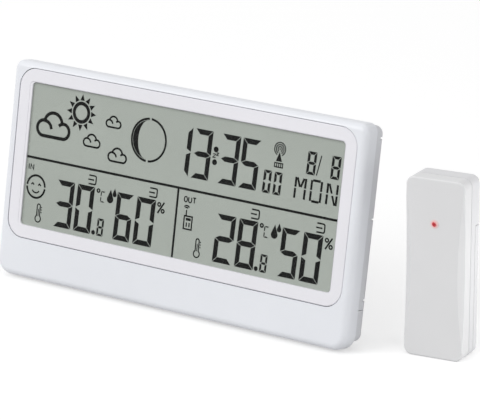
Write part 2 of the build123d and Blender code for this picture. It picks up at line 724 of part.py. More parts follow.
with BuildPart() as sensor_front_shell:
    sensor_blank(0, sensor_seam)
    fillet(sensor_front_shell.faces().sort_by(sensor_forward)[-1].edges(), sensor_round)
    corner = sensor_radius - sensor_wall
    slab(sensor, sensor_wall, sensor_seam, shell_width, shell_height, corner, body_middle, Mode.SUBTRACT)
    # side bevels: a slope turned about an axis far out to the side, so it is deepest at mid height
    slope = waist_depth / waist
    for hand in (-1, 1):
        bevel_plane = Plane(
            origin=sensor.from_local_coords((0, sensor_height / 2, 0)),
            x_dir=sensor.x_dir * hand,
            z_dir=sensor.y_dir * -hand,
        )
        edge_x = sensor_width / 2 - waist
        with BuildSketch(bevel_plane) as wedge:
            with BuildLine():
                Polyline(
                    (edge_x - 3, 3 * slope),
                    (edge_x + waist + 3, -(waist + 3) * slope),
                    (edge_x + waist + 3, 3 * slope),
                    close=True,
                )
            make_face()
        pivot = sensor.from_local_coords((hand * (edge_x + bevel_radius), sensor_height / 2, 0))
        revolve(wedge.sketch, axis=Axis(pivot, sensor.z_dir), revolution_arc=360, mode=Mode.SUBTRACT)
    # raised rim and hole of the lamp, bosses for the screws, stand-offs for the board
    discs(sensor, -0.25, sensor_wall, lamp_radius + lamp_rim, [(0, lamp_height)])
    discs(sensor, -0.25, sensor_wall, lamp_radius, [(0, lamp_height)], Mode.SUBTRACT)
    discs(sensor, sensor_wall, sensor_seam, sensor_boss, sensor_screw_spots)
    discs(sensor, 4.0, sensor_seam, sensor_screw, sensor_screw_spots, Mode.SUBTRACT)
    discs(sensor, sensor_wall, sensor_board_front, 1.5, stand_offs)
save(sensor_front_shell, "sensor_front_shell")

with BuildPart() as sensor_lamp_lens:
    lamp_back = sensor_board_front - 1.1
    discs(sensor, -0.5, lamp_back, lamp_radius, [(0, lamp_height)])
    fillet(sensor_lamp_lens.faces().sort_by(sensor_forward)[-1].edges(), 0.45)
save(sensor_lamp_lens, "sensor_lamp_lens")

with BuildPart() as sensor_lamp:
    block(sensor, lamp_back, sensor_board_front, 3.0, 1.6, (0, lamp_height))
save(sensor_lamp, "sensor_lamp")

with BuildPart() as sensor_board:
    board_span = (0, (board_low + board_high) / 2)
    board_size = (sensor_board_width, board_high - board_low)
    slab(sensor, sensor_board_front, sensor_board_back, *board_size, 1, board_span)
    discs(sensor, sensor_board_front, sensor_board_back, sensor_boss + 0.3, sensor_screw_spots, Mode.SUBTRACT)
save(sensor_board, "sensor_board")

with BuildPart() as sensor_chips:
    block(sensor, sensor_board_back, sensor_board_back + 1.2, 7, 7, (0, board_high - 9))
    block(sensor, sensor_board_back, sensor_board_back + 2.6, 3.4, 9, (6, board_high - 10))
save(sensor_chips, "sensor_chips")

with BuildPart() as outdoor_probe:
    slab(sensor, sensor_board_back, sensor_board_back + 1.4, 4.4, 4.4, 0.6, (-8.4, board_high - 14.6))
save(outdoor_probe, "outdoor_probe")

with BuildPart() as sensor_aerial:
    with BuildLine(sensor.offset(-(sensor_board_back + 0.6))) as loop_path:
        loop_x = sensor_board_width / 2 - 1.7
        loop_top = board_high - 2
        loop_start = [(loop_x, loop_top - 15), (loop_x, loop_top)]
        loop_end = [(-loop_x, loop_top), (-loop_x, loop_top - 8)]
        FilletPolyline(*loop_start, *loop_end, radius=3)
    with BuildSketch(Plane(origin=loop_path.line @ 0, z_dir=loop_path.line % 0)) as loop_section:
        Circle(0.5)
    sweep(loop_section.sketch, path=loop_path.line)
save(sensor_aerial, "sensor_aerial")

small_cell_pitch = 2 * small_cell_radius + small_cell_spacing
small_bay_width = small_cell_pitch + 2 * small_cell_radius + 0.8
small_bay_spot = (0, small_bay_low + small_bay_height / 2)
rear_start = sensor_seam + sensor_gap


def sensor_back():
    sensor_blank(rear_start, sensor_depth)
    fillet(faces().sort_by(sensor_forward)[0].edges(), sensor_rear_round)
    corner = sensor_radius - sensor_wall
    slab(sensor, rear_start, sensor_inside, shell_width, shell_height, corner, body_middle, Mode.SUBTRACT)


with BuildPart() as sensor_rear_shell:
    sensor_back()
    door_space = small_door_top + small_door_gap
    door_middle = (0, door_space / 2)
    block(sensor, small_door_split, sensor_depth, sensor_width + 2, door_space, door_middle, Mode.SUBTRACT)
    # wall above the door, deck under it, and the tray that holds the cells
    shelf_line = small_door_top + small_door_gap + sensor_wall / 2
    block(sensor, rear_start, sensor_inside, shell_width, sensor_wall, (0, shelf_line))
    tray_top = small_bay_low + small_bay_height + small_bay_wall
    deck_middle = (0, (tray_top - 0.5 + shelf_line) / 2)
    deck_back = deck_front + deck_thickness
    block(sensor, deck_front, deck_back, shell_width, shelf_line - tray_top + 0.5, deck_middle)
    tray_width = small_bay_width + 2 * small_bay_wall
    tray_height = small_bay_height + 2 * small_bay_wall
    slab(sensor, small_bay_front, small_door_split, tray_width, tray_height, 1, small_bay_spot)
    for x in (-shell_width / 2, shell_width / 2):
        link = (x - (x > 0) * 1.0 + (x < 0) * 1.0, small_bay_spot[1])
        block(sensor, rear_start, rear_start + 1.2, 3.0, tray_height - 6, link)
    small_bay = (small_bay_width, small_bay_height)
    slab(sensor, small_cell_front, small_door_split, *small_bay, 0.6, small_bay_spot, Mode.SUBTRACT)
    slider_hole = (slider_size + 0.6 + 2 * slider_travel, slider_size + 0.6)
    slider_spot = (slider_x, controls_height)
    slab(sensor, deck_front, deck_back, *slider_hole, 0.6, slider_spot, Mode.SUBTRACT)
    button_spot = [(button_x, controls_height)]
    discs(sensor, deck_front, deck_back, button_radius + button_gap, button_spot, Mode.SUBTRACT)
    discs(sensor, deck_front, deck_back, sensor_screw + 0.15, sensor_screw_spots, Mode.SUBTRACT)
    hanger = (sensor_hanger_radius, sensor_hanger_slot, sensor_hanger_rise)
    keyhole(sensor, sensor_inside, sensor_depth, (0, sensor_hanger_height), *hanger)
save(sensor_rear_shell, "sensor_rear_shell")

with BuildPart() as sensor_battery_door:
    sensor_back()
    above = (0, small_door_top - small_door_gap + sensor_height / 2)
    block(sensor, rear_start, sensor_depth, sensor_width + 2, sensor_height, above, Mode.SUBTRACT)
    keep_front = small_door_split + small_door_gap
    block(sensor, rear_start, keep_front, sensor_width + 2, 2.2 * sensor_height, mode=Mode.SUBTRACT)
    # lifted clear of the table, closed by a lip along its top
    block(sensor, rear_start, sensor_depth, sensor_width + 2, 0.6, (0, 0), Mode.SUBTRACT)
    lip_line = small_door_top - small_door_gap - sensor_wall / 2
    block(sensor, keep_front, sensor_inside, shell_width, sensor_wall, (0, lip_line))
    for step in range(3):
        grip = (0, small_door_top - 5 - 1.8 * step)
        slab(sensor, sensor_depth - 0.4, sensor_depth, 10, 0.8, 0.35, grip, Mode.SUBTRACT)
save(sensor_battery_door, "sensor_battery_door")

with BuildPart() as sensor_screws:
    screws(sensor, deck_back, 4.4, sensor_screw, 1.7, 1.2, sensor_screw_spots)
    for spot in sensor_screw_spots:
        block(sensor, deck_back + 0.7, deck_back + 1.2, 2.2, 0.6, spot, Mode.SUBTRACT)
        block(sensor, deck_back + 0.7, deck_back + 1.2, 0.6, 2.2, spot, Mode.SUBTRACT)
save(sensor_screws, "sensor_screws")

with BuildPart() as sensor_cells:
    upright = Plane(origin=sensor.from_local_coords((0, 0, 0)), x_dir=sensor.x_dir, z_dir=(0, 0, 1))
    cell_low = small_bay_low + (small_bay_height - small_cell_length) / 2
    for turned, x in enumerate((-small_cell_pitch / 2, small_cell_pitch / 2)):
        with BuildSketch(upright.offset(cell_low + turned * 0.9)) as can:
            with Locations((x, small_cell_middle)):
                Circle(small_cell_radius)
        extrude(can.sketch, amount=small_cell_length - 0.9)
        with BuildSketch(upright.offset(cell_low + (1 - turned) * (small_cell_length - 0.9))) as nub:
            with Locations((x, small_cell_middle)):
                Circle(1.9)
        extrude(nub.sketch, amount=0.9)
save(sensor_cells, "sensor_cells")

with BuildPart() as sensor_contacts:
    for x in (-small_cell_pitch / 2, small_cell_pitch / 2):
        for y_wall, y_cell in (
            (small_bay_low, cell_low),
            (small_bay_low + small_bay_height, cell_low + small_cell_length),
        ):
            inward = 1 if y_cell > y_wall else -1
            y_leaf = y_wall + inward * contact_sheet
            with BuildSketch(sensor.offset(-(small_cell_middle + 3))) as leaf:
                with BuildLine():
                    Polyline(
                        (x - 3.6, y_wall),
                        (x + 3.6, y_wall),
                        (x + 3.6, y_leaf),
                        (x + 0.5, y_cell),
                        (x - 0.5, y_cell),
                        (x - 0.3, y_cell - inward * contact_sheet),
                        (x + 0.3, y_cell - inward * contact_sheet),
                        (x + 2.8, y_leaf + inward * 0.05),
                        (x - 3.6, y_leaf),
                        close=True,
                    )
                make_face()
            extrude(leaf.sketch, amount=6)
save(sensor_contacts, "sensor_contacts")

with BuildPart() as channel_switch_body:
    switch_top = sensor_board_back + 3.2
    block(sensor, sensor_board_back, switch_top, slider_body, 4.4, slider_spot)
save(channel_switch_body, "channel_switch_body")

with BuildPart() as channel_slider:
    slab(sensor, switch_top + 0.1, deck_back + 1.0, slider_size, slider_size, 0.4, slider_spot)
save(channel_slider, "channel_slider")

with BuildPart() as send_switch:
    block(sensor, sensor_board_back, sensor_board_back + 1.6, 4.4, 4.4, (button_x + 0.6, controls_height))
save(send_switch, "send_switch")

with BuildPart() as send_button:
    button_flange = deck_front - 0.3
    discs(sensor, button_flange - 1.0, deck_back + 0.8, button_radius, button_spot)
    discs(sensor, button_flange - 1.0, button_flange, button_radius + 0.6, button_spot)
save(send_button, "send_button")

print("leg swing", round(leg_swing, 2), "hinge", round(hinge_y, 2), round(hinge_z, 2))
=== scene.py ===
import json
import math

import bmesh
import bpy
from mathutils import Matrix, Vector


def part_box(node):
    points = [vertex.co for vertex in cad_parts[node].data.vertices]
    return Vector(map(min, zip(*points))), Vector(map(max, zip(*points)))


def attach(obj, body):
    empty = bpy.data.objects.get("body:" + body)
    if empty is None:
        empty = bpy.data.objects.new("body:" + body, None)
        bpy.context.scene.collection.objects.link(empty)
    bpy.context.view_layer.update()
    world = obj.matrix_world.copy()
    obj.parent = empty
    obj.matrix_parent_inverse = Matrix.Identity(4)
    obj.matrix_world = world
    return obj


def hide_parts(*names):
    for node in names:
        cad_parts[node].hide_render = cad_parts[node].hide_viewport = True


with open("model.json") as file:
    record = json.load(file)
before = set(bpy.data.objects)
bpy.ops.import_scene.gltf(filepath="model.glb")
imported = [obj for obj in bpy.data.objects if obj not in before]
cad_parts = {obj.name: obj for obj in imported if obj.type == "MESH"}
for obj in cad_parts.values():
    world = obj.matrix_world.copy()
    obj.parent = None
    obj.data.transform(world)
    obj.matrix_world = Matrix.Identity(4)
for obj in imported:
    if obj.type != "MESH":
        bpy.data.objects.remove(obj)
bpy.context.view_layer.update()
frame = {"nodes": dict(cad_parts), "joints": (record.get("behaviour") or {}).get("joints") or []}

mm = 0.001


def linear(hexText, alpha=1.0):
    # sRGB hex to the linear values the shader works in
    channels = [int(hexText[i:i + 2], 16) / 255 for i in (1, 3, 5)]
    return [c / 12.92 if c <= 0.04045 else ((c + 0.055) / 1.055) ** 2.4 for c in channels] + [alpha]


def addNode(tree, kind, settings=None, **links):
    # one node with its settings; each link names an input, with spaces as _, and where it comes from
    node = tree.nodes.new("ShaderNode" + kind)
    for key, value in (settings or {}).items():
        if isinstance(key, int) or key in node.inputs:
            node.inputs[key].default_value = value
        else:
            setattr(node, key, value)
    for key, source in links.items():
        socket = node.inputs[int(key[1:])] if key[1:].isdigit() else node.inputs[key.replace("_", " ")]
        tree.links.new(source, socket)
    return node


def startMaterial(name):
    material = bpy.data.materials.new(name)
    material.use_nodes = True
    material.node_tree.nodes.clear()
    return material, material.node_tree


def finishMaterial(tree, shader):
    addNode(tree, "OutputMaterial", Surface=shader.outputs["BSDF"])


def shaderAndColour(material):
    # a finished material's shader and the socket that feeds its colour
    shader = next(node for node in material.node_tree.nodes if node.type == "BSDF_PRINCIPLED")
    return shader, shader.inputs["Base Color"].links[0].from_socket


def seenPlainly(tree):
    # 1 where a ray comes straight from the view, through something clear or off something glossy
    ray = addNode(tree, "LightPath")
    straight = addNode(tree, "Math", {"operation": "MAXIMUM"}, _0=ray.outputs["Is Camera Ray"],
                       _1=ray.outputs["Is Transmission Ray"])
    seen = addNode(tree, "Math", {"operation": "MAXIMUM"}, _0=straight.outputs[0],
                   _1=ray.outputs["Is Glossy Ray"])
    return seen.outputs[0]


def grain(tree, size, detail=2.0, stretch=(1, 1, 1)):
    # noise whose blobs are about the given size in mm, on the piece's own coordinates
    place = addNode(tree, "TexCoord")
    scaled = addNode(tree, "Mapping", {"Scale": stretch}, Vector=place.outputs["Object"])
    settings = {"Scale": 1 / (size * mm), "Detail": detail, "Roughness": 0.55}
    return addNode(tree, "TexNoise", settings, Vector=scaled.outputs["Vector"])


def surface(name, look):
    # two close colours in patches, and a fine grain in height and in gloss; sizes in mm
    material, tree = startMaterial(name)
    cloud = grain(tree, look.get("patch", 38), 2.0)
    fine = grain(tree, look["grain"], 3.0, look.get("stretch", (1, 1, 1)))
    ramp = addNode(tree, "ValToRGB", {}, Fac=cloud.outputs["Fac"])
    ramp.color_ramp.elements[0].position = 0.3
    ramp.color_ramp.elements[1].position = 0.7
    ramp.color_ramp.elements[0].color = linear(look["shade"])
    ramp.color_ramp.elements[1].color = linear(look["colour"])
    low, high = look["roughness"]
    gloss = addNode(tree, "MapRange", {"To Min": low, "To Max": high}, Value=fine.outputs["Fac"])
    relief = addNode(tree, "Bump", {"Strength": look.get("relief", 0.3), "Distance": look["depth"] * mm},
                     Height=fine.outputs["Fac"])
    settings = {"Metallic": look.get("metallic", 0.0)}
    settings.update(look.get("sockets", {}))
    shader = addNode(tree, "BsdfPrincipled", settings, Base_Color=ramp.outputs["Color"],
                     Roughness=gloss.outputs["Result"], Normal=relief.outputs["Normal"])
    finishMaterial(tree, shader)
    return material


# ABS, gloss moulded in a fine satin tool: cool white with a soft sheen along its rounded edge
satinWhiteAbs = surface("satinMouldedAbsWhite", {
    "colour": "#e6e8ed", "shade": "#e3e5ea", "grain": 1.1, "depth": 0.006, "roughness": (0.34, 0.42),
    "sockets": {"IOR": 1.53, "Specular IOR Level": 0.5}})
# ABS, moulded in a duller tool: the display surround, a touch warmer and flatter than the housing
mattWhiteAbs = surface("mattMouldedAbsPanel", {
    "colour": "#e8e7ec", "shade": "#e5e4e9", "grain": 0.9, "depth": 0.01, "roughness": (0.46, 0.56),
    "sockets": {"IOR": 1.53, "Specular IOR Level": 0.4}})
# ABS, spark-eroded tool: the back, with a visible fine grain; the front's white plastic, painted darker as
# shade where the back turns away from the light
erodedAbsBackPaintedShade = surface("sparkErodedAbsBackPaintedShade", {
    "colour": "#d9dade", "shade": "#d4d5d9", "grain": 1.0, "depth": 0.05, "roughness": (0.5, 0.64),
    "relief": 0.5, "sockets": {"IOR": 1.53, "Specular IOR Level": 0.4}})
# ABS, the sensor's front, moulded in a fine matt tool: the housing's white plastic, painted down to a neutral
# light grey-white as shade on its front
mattAbsSensorFrontPaintedShade = surface("mattMouldedAbsSensorFrontPaintedShade", {
    "colour": "#e2e2e3", "shade": "#dfdfe0", "grain": 0.9, "depth": 0.01, "roughness": (0.45, 0.55),
    "sockets": {"IOR": 1.53, "Specular IOR Level": 0.4}})
# ABS, the sensor's back shell and door, moulded white: the same plastic as the front, painted a touch darker as
# shade to hold down the card lamp's light; that lamp makes it the lighter of the two halves
whiteAbsSensorBackPaintedShade = surface("satinMouldedAbsSensorBackPaintedShade", {
    "colour": "#dddddf", "shade": "#dadadc", "grain": 1.0, "depth": 0.015, "roughness": (0.4, 0.5),
    "sockets": {"IOR": 1.53, "Specular IOR Level": 0.4}})
# display glass with its polarising film: grey-green, even, with a hardly visible film grain
lcdFilm = surface("laminatedPolarisingFilm", {
    "colour": "#a8aea7", "shade": "#a4aaa3", "patch": 60, "grain": 0.7, "depth": 0.002,
    "roughness": (0.55, 0.6), "sockets": {"IOR": 1.49, "Specular IOR Level": 0.25}})
# twisted liquid-crystal segments switched on: soft black, no gloss of their own
lcdSegment = surface("switchedLiquidCrystal", {
    "colour": "#0b0b0b", "shade": "#080808", "patch": 8, "grain": 0.6, "depth": 0.001,
    "roughness": (0.6, 0.7), "sockets": {"IOR": 1.49, "Specular IOR Level": 0.05}})
# aluminium-coated polyester foil, calendered: bright grey behind the glass
reflectorFoil = surface("calenderedReflectorFoil", {
    "colour": "#c9cdc9", "shade": "#bfc4bf", "grain": 0.8, "depth": 0.01, "roughness": (0.3, 0.42),
    "metallic": 0.8})
# acetal, moulded: milky white inner frame
mouldedAcetal = surface("mouldedAcetalHolder", {
    "colour": "#e4e3dc", "shade": "#deddd5", "grain": 0.9, "depth": 0.01, "roughness": (0.4, 0.5),
    "sockets": {"IOR": 1.48}})
# silicone rubber, compression moulded: dull grey with a dusty bloom
siliconeRubber = surface("compressionMouldedSilicone", {
    "colour": "#c9c9c9", "shade": "#bfbfbf", "patch": 12, "grain": 0.7, "depth": 0.03,
    "roughness": (0.72, 0.85), "relief": 0.5, "sockets": {"IOR": 1.41, "Specular IOR Level": 0.35}})
# silicone keys, moulded and coated: slightly greyer than the back, softer highlight
siliconeKey = surface("coatedSiliconeKey", {
    "colour": "#c3c5ca", "shade": "#bdbfc4", "patch": 10, "grain": 0.6, "depth": 0.01,
    "roughness": (0.5, 0.6), "sockets": {"IOR": 1.43}})
# solder mask over woven glass-epoxy board: deep green with the weave showing through
circuitBoard = surface("maskedGlassEpoxyBoard", {
    "colour": "#2f6b3e", "shade": "#275a34", "patch": 9, "grain": 0.8, "stretch": (1, 1, 0.25),
    "depth": 0.02, "roughness": (0.3, 0.45), "sockets": {"IOR": 1.5}})
# transfer-moulded epoxy: black component bodies, faintly grainy
mouldedEpoxy = surface("transferMouldedEpoxy", {
    "colour": "#262629", "shade": "#1f1f22", "patch": 6, "grain": 0.5, "depth": 0.02,
    "roughness": (0.5, 0.65), "sockets": {"IOR": 1.55}})
# zinc-plated or nickel-plated steel, drawn: cool bright metal with fine drawing lines
platedSteel = surface("nickelPlatedSteel", {
    "colour": "#c6c7c9", "shade": "#b3b4b7", "patch": 5, "grain": 0.5, "stretch": (0.15, 1, 1),
    "depth": 0.01, "roughness": (0.22, 0.36), "metallic": 1.0})
# enamelled copper wire, wound: warm orange-brown with fine turns
woundCopper = surface("enamelledCopperWire", {
    "colour": "#b4652f", "shade": "#94501f", "patch": 4, "grain": 0.5, "stretch": (6, 0.3, 0.3),
    "depth": 0.06, "roughness": (0.28, 0.4), "relief": 0.8, "metallic": 0.9})
# sintered ferrite: dark grey ceramic, slightly porous
sinteredFerrite = surface("sinteredFerriteRod", {
    "colour": "#3a3a3d", "shade": "#303033", "patch": 5, "grain": 0.6, "depth": 0.04,
    "roughness": (0.5, 0.7), "sockets": {"IOR": 2.0}})
# ABS, black, moulded: the sensor's little slider and button
blackAbs = surface("mouldedAbsBlackControl", {
    "colour": "#37383b", "shade": "#313235", "patch": 6, "grain": 0.5, "depth": 0.02,
    "roughness": (0.42, 0.55), "sockets": {"IOR": 1.53}})


# the sensor's red lamp; distances from its middle in mm
lampGlow = {"deep": "#a31320", "red": "#d23b43", "pale": "#f8d6d3", "deepTo": 0.3, "paleFrom": 1.5,
            "uneven": 0.15, "blush": "#f4c3c0", "blushFrom": 1.6, "blushTo": 2.4, "blushShare": 0.8}


def fromLampMiddle(tree):
    # how far a spot lies from the middle of the lamp's lens, seen from the front
    low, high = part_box("sensor_lamp_lens")
    place = addNode(tree, "TexCoord")
    fromMiddle = addNode(tree, "VectorMath", {"operation": "SUBTRACT", 1: (low + high) / 2},
                         _0=place.outputs["Object"])
    flat = addNode(tree, "VectorMath", {"operation": "MULTIPLY", 1: (1, 0, 1)}, _0=fromMiddle.outputs[0])
    return addNode(tree, "VectorMath", {"operation": "LENGTH"}, _0=flat.outputs[0]).outputs["Value"]


def mouldedAcrylicRed():
    # acrylic, moulded and dyed red: deep in the middle of the lens, washed pale at its rim
    material, tree = startMaterial("mouldedAcrylicRed")
    reach = fromLampMiddle(tree)
    cloud = grain(tree, 0.9)
    uneven = lampGlow["uneven"] * mm
    spread = addNode(tree, "MapRange", {"From Min": 0.3, "From Max": 0.7, "To Min": -uneven, "To Max": uneven},
                     Value=cloud.outputs["Fac"])
    wavy = addNode(tree, "Math", {"operation": "ADD"}, _0=reach, _1=spread.outputs["Result"])
    fade = {"From Min": lampGlow["deepTo"] * mm, "From Max": lampGlow["paleFrom"] * mm}
    share = addNode(tree, "MapRange", fade, Value=wavy.outputs[0])
    ramp = addNode(tree, "ValToRGB", {}, Fac=share.outputs["Result"])
    ramp.color_ramp.elements[0].color = linear(lampGlow["deep"])
    ramp.color_ramp.elements[1].color = linear(lampGlow["pale"])
    middle = ramp.color_ramp.elements.new(0.5)
    middle.color = linear(lampGlow["red"])
    fine = grain(tree, 0.4)
    relief = addNode(tree, "Bump", {"Strength": 0.1, "Distance": 0.01 * mm}, Height=fine.outputs["Fac"])
    shader = addNode(tree, "BsdfPrincipled", {"Roughness": 0.3, "IOR": 1.49}, Base_Color=ramp.outputs["Color"],
                     Normal=relief.outputs["Normal"])
    finishMaterial(tree, shader)
    return material


def blushRoundLamp(material):
    # the lamp's red bleeds into the white rim around it
    tree = material.node_tree
    shader, colour = shaderAndColour(material)
    fade = {"From Min": lampGlow["blushFrom"] * mm, "From Max": lampGlow["blushTo"] * mm,
            "To Min": lampGlow["blushShare"], "To Max": 0.0}
    share = addNode(tree, "MapRange", fade, Value=fromLampMiddle(tree))
    tinted = addNode(tree, "Mix", {"data_type": "RGBA", 7: linear(lampGlow["blush"])},
                     _0=share.outputs["Result"], _6=colour)
    tree.links.new(tinted.outputs[2], shader.inputs["Base Color"])


def castAcrylicWindow():
    # acrylic sheet, cast and cut: clear, seen only as the faintest haze over the display
    material, tree = startMaterial("castAcrylicWindow")
    haze = grain(tree, 14)
    tint = addNode(tree, "ValToRGB", {}, Fac=haze.outputs["Fac"])
    tint.color_ramp.elements[0].color = linear("#c4cbc6")
    tint.color_ramp.elements[1].color = linear("#ccd2ce")
    settings = {"Alpha": 0.01, "Roughness": 0.35, "IOR": 1.49, "Specular IOR Level": 0.08}
    shader = addNode(tree, "BsdfPrincipled", settings, Base_Color=tint.outputs["Color"])
    finishMaterial(tree, shader)
    return material


# middle of the sleeve and half its length in mm, along the axis that the cells lie on
cellSleeves = {"sleevedAlkalineCellAa": ("X", 0.0, 23.4), "sleevedAlkalineCellAaa": ("Z", 28.4, 20.6)}


def sleevedCell(name):
    # alkaline cell: plated can in a shrunk printed sleeve, with bare metal at both ends
    material, tree = startMaterial(name)
    place = addNode(tree, "TexCoord")
    parts = addNode(tree, "SeparateXYZ", {}, Vector=place.outputs["Object"])
    axis, centre, half = cellSleeves[name]
    half *= mm
    away = addNode(tree, "Math", {"operation": "SUBTRACT", 1: centre * mm}, _0=parts.outputs[axis])
    size = addNode(tree, "Math", {"operation": "ABSOLUTE"}, _0=away.outputs[0])
    bare = addNode(tree, "Math", {"operation": "GREATER_THAN", 1: half}, _0=size.outputs[0])
    bandStart = addNode(tree, "Math", {"operation": "GREATER_THAN", 1: 0.55 * half}, _0=away.outputs[0])
    mottle = grain(tree, 7)
    base = addNode(tree, "ValToRGB", {}, Fac=mottle.outputs["Fac"])
    base.color_ramp.elements[0].color = linear("#24435f")
    base.color_ramp.elements[1].color = linear("#2a4c6b")
    band = addNode(tree, "Mix", {"data_type": "RGBA", 7: linear("#d7d9db")},
                   _0=bandStart.outputs[0], _6=base.outputs["Color"])
    metal = addNode(tree, "Mix", {"data_type": "RGBA", 7: linear("#bdbec1")},
                    _0=bare.outputs[0], _6=band.outputs[2])
    fine = grain(tree, 0.8)
    relief = addNode(tree, "Bump", {"Strength": 0.2, "Distance": 0.02 * mm}, Height=fine.outputs["Fac"])
    shader = addNode(tree, "BsdfPrincipled", {"Roughness": 0.3, "IOR": 1.5}, Base_Color=metal.outputs[2],
                     Metallic=bare.outputs[0], Normal=relief.outputs["Normal"])
    finishMaterial(tree, shader)
    return material


acrylicRed = mouldedAcrylicRed()
acrylicClear = castAcrylicWindow()
blushRoundLamp(mattAbsSensorFrontPaintedShade)
stationCell = sleevedCell("sleevedAlkalineCellAa")
sensorCell = sleevedCell("sleevedAlkalineCellAaa")

finishes = {
    satinWhiteAbs: ["front_housing"],
    mattWhiteAbs: ["display_frame", "stand_leg"],
    erodedAbsBackPaintedShade: ["rear_housing", "lower_bar", "battery_door"],
    mattAbsSensorFrontPaintedShade: ["sensor_front_shell"],
    whiteAbsSensorBackPaintedShade: ["sensor_rear_shell", "sensor_battery_door"],
    lcdFilm: ["lcd_front_glass", "lcd_rear_glass"],
    reflectorFoil: ["lcd_reflector"],
    mouldedAcetal: ["lcd_holder"],
    siliconeRubber: ["zebra_strip", "base_foot", "stand_pad"],
    siliconeKey: ["mode_key", "alarm_key", "snooze_key", "plus_key", "minus_key", "channel_key"],
    circuitBoard: ["main_board", "radio_board", "sensor_board"],
    mouldedEpoxy: ["board_chips", "buzzer", "room_sensor", "key_switches", "sensor_chips",
                   "outdoor_probe", "channel_switch_body", "send_switch"],
    platedSteel: ["board_screws", "clock_crystal", "housing_screws", "battery_contacts", "stand_pin",
                  "sensor_screws", "sensor_contacts"],
    woundCopper: ["time_aerial_coil", "receiver_aerial", "sensor_aerial"],
    sinteredFerrite: ["time_aerial_rod"],
    blackAbs: ["channel_slider", "send_button"],
    acrylicRed: ["sensor_lamp_lens", "sensor_lamp"],
    acrylicClear: ["display_lens"],
    stationCell: ["battery_cells"],
    sensorCell: ["sensor_cells"],
}
for material, names in finishes.items():
    for name in names:
        slots = frame["nodes"][name].data.materials
        slots.clear()
        slots.append(material)
unfinished = sorted(set(frame["nodes"]) - {name for names in finishes.values() for name in names})
print("materials set, nodes without one:", unfinished)


pressAxis = next(j["axis"] for j in frame["joints"] if j["name"] == "mode_press")
towardsViewer = Vector(pressAxis).normalized()  # the back keys are pressed towards the front
rightward = Vector((1, 0, 0))
upFace = towardsViewer.cross(rightward).normalized()
panelLow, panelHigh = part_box("display_frame")
panelMiddleDepth = 1.5 * mm  # from the housing's front surface to the middle of the panel
faceOrigin = (panelLow + panelHigh) / 2 + towardsViewer * panelMiddleDepth


def facePoint(x, up, depth):
    # mm right of and above the display's middle, and mm behind the front surface
    return faceOrigin + (rightward * x + upFace * up - towardsViewer * depth) * mm


def addPiece(name, shape, material, body):
    bmesh.ops.recalc_face_normals(shape, faces=shape.faces[:])
    mesh = bpy.data.meshes.new(name)
    shape.to_mesh(mesh)
    shape.free()
    piece = bpy.data.objects.new(name, mesh)
    bpy.context.scene.collection.objects.link(piece)
    mesh.materials.append(material)
    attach(piece, body)
    return piece


# the window in mm: outlines as width, height and corner radius, the rest as depths behind the front;
# the hole in the lip sits a little right of and below the middle
window = {"hole": (190.45, 72.65, 2.0), "right": 0.62, "down": 0.03,
          "mouth": (191.76, 72.76, 1.95), "back": (194.0, 75.0, 1.5),
          "lipFront": 0.12, "lipEdge": 0.2, "lipBack": 0.94, "film": (1.0, 1.12),
          "pane": (0.7, 0.88), "bevel": 0.06, "paneGap": 0.05,
          "shade": (0.72, 1.6)}  # how dim the film's edge is, and how far in the shade reaches


def roundedOutline(width, height, radius, steps=6):
    points = []
    for cornerX, cornerY, start in ((1, 1, 0), (-1, 1, 90), (-1, -1, 180), (1, -1, 270)):
        for step in range(steps + 1):
            a = math.radians(start + 90 * step / steps)
            points.append((cornerX * (width / 2 - radius) + radius * math.cos(a),
                           cornerY * (height / 2 - radius) + radius * math.sin(a)))
    return points


def ringOfVerts(shape, outline, depth, grow=0.0, shifted=False):
    # the outline as vertices at a depth behind the front, grown or shrunk by the given mm
    width, height, radius = outline
    right, down = (window["right"], window["down"]) if shifted else (0, 0)
    spots = roundedOutline(width + 2 * grow, height + 2 * grow, radius + grow)
    return [shape.verts.new(facePoint(x + right, y - down, depth)) for x, y in spots]


def joinRings(shape, rings, closed=False):
    pairs = zip(rings, rings[1:] + rings[:1]) if closed else zip(rings, rings[1:])
    for one, two in pairs:
        for i in range(len(one)):
            shape.faces.new((one[i - 1], one[i], two[i], two[i - 1]))


def makeWindow():
    # clear pane, its edges broken by a small bevel
    shape = bmesh.new()
    (front, back), bevel, gap = window["pane"], window["bevel"], window["paneGap"]
    rings = [ringOfVerts(shape, window["hole"], depth, -gap - inset, True)
             for inset, depth in ((bevel, front), (0, front + bevel), (0, back - bevel), (bevel, back))]
    joinRings(shape, rings)
    shape.faces.new(rings[0])
    shape.faces.new(rings[-1])
    piece = addPiece("display_window", shape, acrylicClear, "station")
    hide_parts("display_lens")


def makeWindowLip():
    # moulded lip: carries the panel's face on to the edge of the film, then drops to it
    shape = bmesh.new()
    rings = [ringOfVerts(shape, window["mouth"], window["lipFront"]),
             ringOfVerts(shape, window["hole"], window["lipEdge"], 0.0, True),
             ringOfVerts(shape, window["hole"], window["lipBack"], 0.0, True),
             ringOfVerts(shape, window["hole"], window["film"][0], 0.0, True),
             ringOfVerts(shape, window["back"], window["film"][0]),
             ringOfVerts(shape, window["back"], window["lipBack"]),
             ringOfVerts(shape, window["mouth"], window["lipBack"])]
    joinRings(shape, rings, True)
    addPiece("window_lip", shape, mattWhiteAbs, "station")


